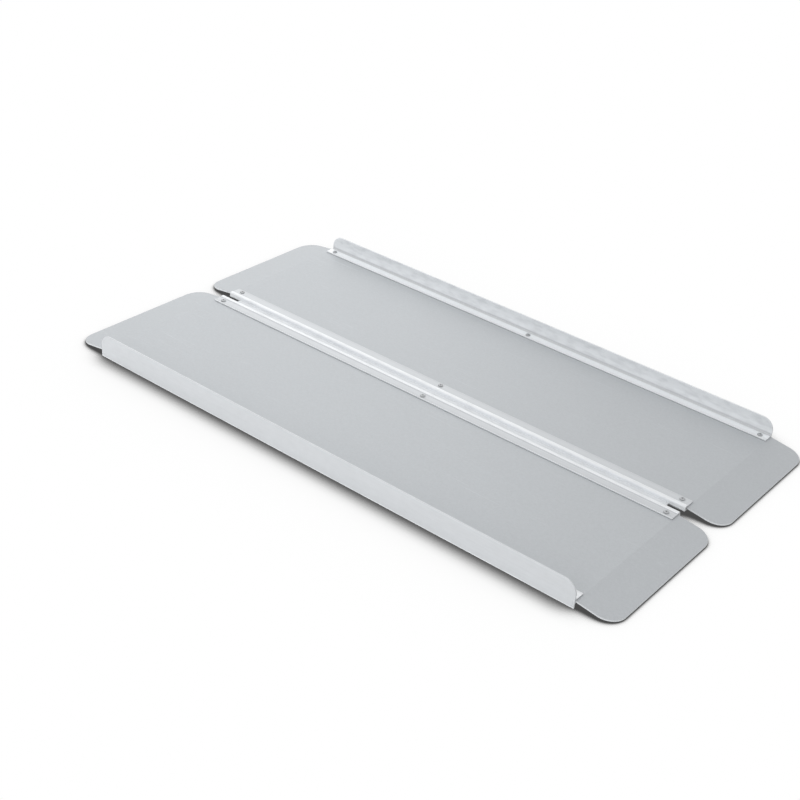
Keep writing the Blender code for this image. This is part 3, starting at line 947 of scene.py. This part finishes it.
def rim_polish_and_highlight(look, patchy):
    """Where a curb rail is painted bright, at its rim, foot, inner face and flange: partly wear from
    hands, wheels and the floor, partly painted highlight and painted light.
    """
    rim = look.fade(look.z, CURB_HEIGHT, RIM_FADE, 0.0, RIM_WEAR_AND_HIGHLIGHT)
    foot = look.fade(look.z, 0, FOOT_FADE)
    inner = wheel_side(look)
    # Painted highlight along the flange, and painted light on the inner face and foot
    flange = look.math("MULTIPLY", inner, look.fade(look.z, FLANGE_TOP, FLANGE_FADE))
    rubbed_and_lit = look.math("MAXIMUM", rim, foot)
    rubbed_and_lit = look.math("MAXIMUM", rubbed_and_lit, look.math("MULTIPLY", inner, WHEEL_SIDE_WEAR_AND_LIGHT))
    rubbed_and_lit = look.math("MULTIPLY", rubbed_and_lit, look.ramp(patchy, *RUBBED_AND_LIT_LEVELS, 0.60, 1.0))
    return look.math("MAXIMUM", rubbed_and_lit, flange)


def rivet_finish():
    """Dull rivet heads: a darker mouth round the mandrel, set marks and a brighter crown."""
    look = Finish("rivet_aluminium", metallic=0.9)
    grain = look.pattern("rivet_grain")
    cloud = look.pattern("rivet_cloud")
    squares = [look.math("POWER", part, 2.0) for part in (look.x, look.y)]
    across = look.math("SQRT", look.math("ADD", *squares))
    mouth = look.fade(across, RIVET_MOUTH_RADIUS, MOUTH_FADE)
    crown = look.fade(look.z, 0, CROWN_FADE)
    tone = look.total(1.0, (grain, 0.25), (cloud, 0.30))
    tone = look.math("MULTIPLY_ADD", crown, 0.12, tone)
    head = look.tinted(RIVET_COLOR, tone)
    color = look.blend(mouth, head, look.tinted(MANDREL_COLOR, tone))
    roughness = look.total(0.42, (grain, 0.15), (cloud, 0.15))
    look.relief((cloud, 0.00004), (grain, 0.00003))
    return look.done(color, roughness)


def pin_finish():
    """Zinc-plated steel with fine turning marks and a little clouding."""
    look = Finish("pin_steel", metallic=1.0)
    rings = look.pattern("turning_marks")
    cloud = look.pattern("zinc_cloud")
    tone = look.total(1.0, (rings, 0.16), (cloud, 0.28))
    roughness = look.total(0.34, (rings, 0.12), (cloud, 0.20))
    look.relief((rings, 0.00003), (cloud, 0.00003))
    return look.done(look.tinted(PIN_COLOR, tone), roughness)


# ---------------------------------------------------------------- studio


def shade_near(look, reach, least_open, darkest):
    """The floor's painted shade near the object: 1 in the open, and darkest where it is least open.
    """
    nearby = look.tree.nodes.new("ShaderNodeAmbientOcclusion")
    nearby.inputs["Distance"].default_value = reach
    return look.ramp(nearby.outputs["AO"], least_open, 1.0, darkest, 1.0)


def floor():
    """A plain white floor with the object's shadow painted on where the camera sees it.

    It lights the object and is mirrored in it as any white floor. The camera sees it as a clear
    sheet over the white surround, tinted by a painted shadow that darkens it near the object, so
    that the half that folds under the other one and the ramp's underside show as well.
    """
    bpy.ops.mesh.primitive_plane_add(size=FLOOR_SIZE, location=(0, 0, 0))
    plane = bpy.context.object
    plane.name = "floor"
    look = Finish("white_floor", metallic=0.0)
    look.shader.inputs["Specular IOR Level"].default_value = 0.0
    look.shader.inputs["Emission Color"].default_value = (1, 1, 1, 1)
    glow = look.math("MULTIPLY", FLOOR_GLOW, seen_directly(look.tree))
    look.feed(look.shader.inputs["Emission Strength"], glow)
    material = look.done((FLOOR_TONE, FLOOR_TONE, FLOOR_TONE, 1), FLOOR_ROUGHNESS)
    shadow = look.math("MULTIPLY", shade_near(look, *CONTACT_SHADE), shade_near(look, *SOFT_SHADE))
    clear = look.tree.nodes.new("ShaderNodeBsdfTransparent")
    look.feed(clear.inputs["Color"], shadow)
    path = look.tree.nodes.new("ShaderNodeLightPath")
    mix = look.tree.nodes.new("ShaderNodeMixShader")
    look.feed(mix.inputs[0], path.outputs["Is Camera Ray"])
    look.feed(mix.inputs[1], look.shader.outputs[0])
    look.feed(mix.inputs[2], clear.outputs[0])
    look.feed(look.tree.nodes["Material Output"].inputs["Surface"], mix.outputs[0])
    plane.data.materials.append(material)


def seen_directly(tree):
    """1 for what the camera sees itself, in a reflection or through glass, and 0 for lighting."""
    path = tree.nodes.new("ShaderNodeLightPath")
    seen = path.outputs["Is Camera Ray"]
    for ray in ("Is Glossy Ray", "Is Transmission Ray"):
        either = tree.nodes.new("ShaderNodeMath")
        either.operation = "MAXIMUM"
        tree.links.new(seen, either.inputs[0])
        tree.links.new(path.outputs[ray], either.inputs[1])
        seen = either.outputs[0]
    return seen


def world():
    """An even white surround that lights the object at a plain level and is seen as white."""
    surround = bpy.data.worlds.new("world")
    bpy.context.scene.world = surround
    surround.use_nodes = True
    tree = surround.node_tree
    lighting = tree.nodes["Background"]
    backdrop = tree.nodes.new("ShaderNodeBackground")
    for background, level in ((lighting, WORLD_LEVEL), (backdrop, BACKDROP_LEVEL)):
        background.inputs["Color"].default_value = (1, 1, 1, 1)
        background.inputs["Strength"].default_value = level
    mix = tree.nodes.new("ShaderNodeMixShader")
    tree.links.new(seen_directly(tree), mix.inputs[0])
    tree.links.new(lighting.outputs[0], mix.inputs[1])
    tree.links.new(backdrop.outputs[0], mix.inputs[2])
    tree.links.new(mix.outputs[0], tree.nodes["World Output"].inputs[0])


def area(name, place, size, power, mirrored):
    """A square soft lamp that faces the middle of the object."""
    data = bpy.data.lights.new(name, "AREA")
    data.size = size
    data.energy = power
    lamp = bpy.data.objects.new(name, data)
    bpy.context.scene.collection.objects.link(lamp)
    lamp.location = place
    lamp.rotation_euler = (-Vector(place)).to_track_quat("-Z", "Y").to_euler()
    lamp.visible_glossy = mirrored


def camera():
    """The camera at the photographer's place."""
    data = bpy.data.cameras.new("camera")
    data.lens = CAMERA_LENS
    data.sensor_width = CAMERA_SENSOR
    cam = bpy.data.objects.new("camera", data)
    bpy.context.scene.collection.objects.link(cam)
    cam.location = CAMERA_POINT
    turn = (Vector(CAMERA_TARGET) - Vector(CAMERA_POINT)).to_track_quat("-Z", "Y")
    cam.rotation_euler = (turn @ Quaternion((0, 0, 1), CAMERA_ROLL)).to_euler()
    bpy.context.scene.camera = cam


# ---------------------------------------------------------------- scene

looks = {
    "deck": deck_finish(),
    "rail": extrusion_finish("extruded_curb_rail", rim_polish_and_highlight, wall_shade_and_dirt),
    "leaf": extrusion_finish("extruded_hinge_leaf", ridge_polish_and_highlight, ridge_shade_and_dirt),
    "rivet": rivet_finish(),
    "pin": pin_finish(),
}
for label, side in SIDES.items():
    dress(build_deck(label, side), "deck_" + label, looks["deck"])
    dress(build_rail(label, side), "curb_rail_" + label, looks["rail"])
    dress(build_leaf(label, side), "hinge_leaf_" + label, looks["leaf"])
    for node in rivet_nodes("curb", label) + rivet_nodes("hinge", label):
        dress(build_rivet(node), node, looks["rivet"])
dress(build_pin(), "hinge_pin", looks["pin"])
dress(build_retainer(), "hinge_pin_retainer", looks["pin"])

floor()
world()
for name, (place, size, power, mirrored) in LAMPS.items():
    area(name, place, size, power, mirrored)
camera()
bpy.context.scene.view_settings.view_transform = "Standard"
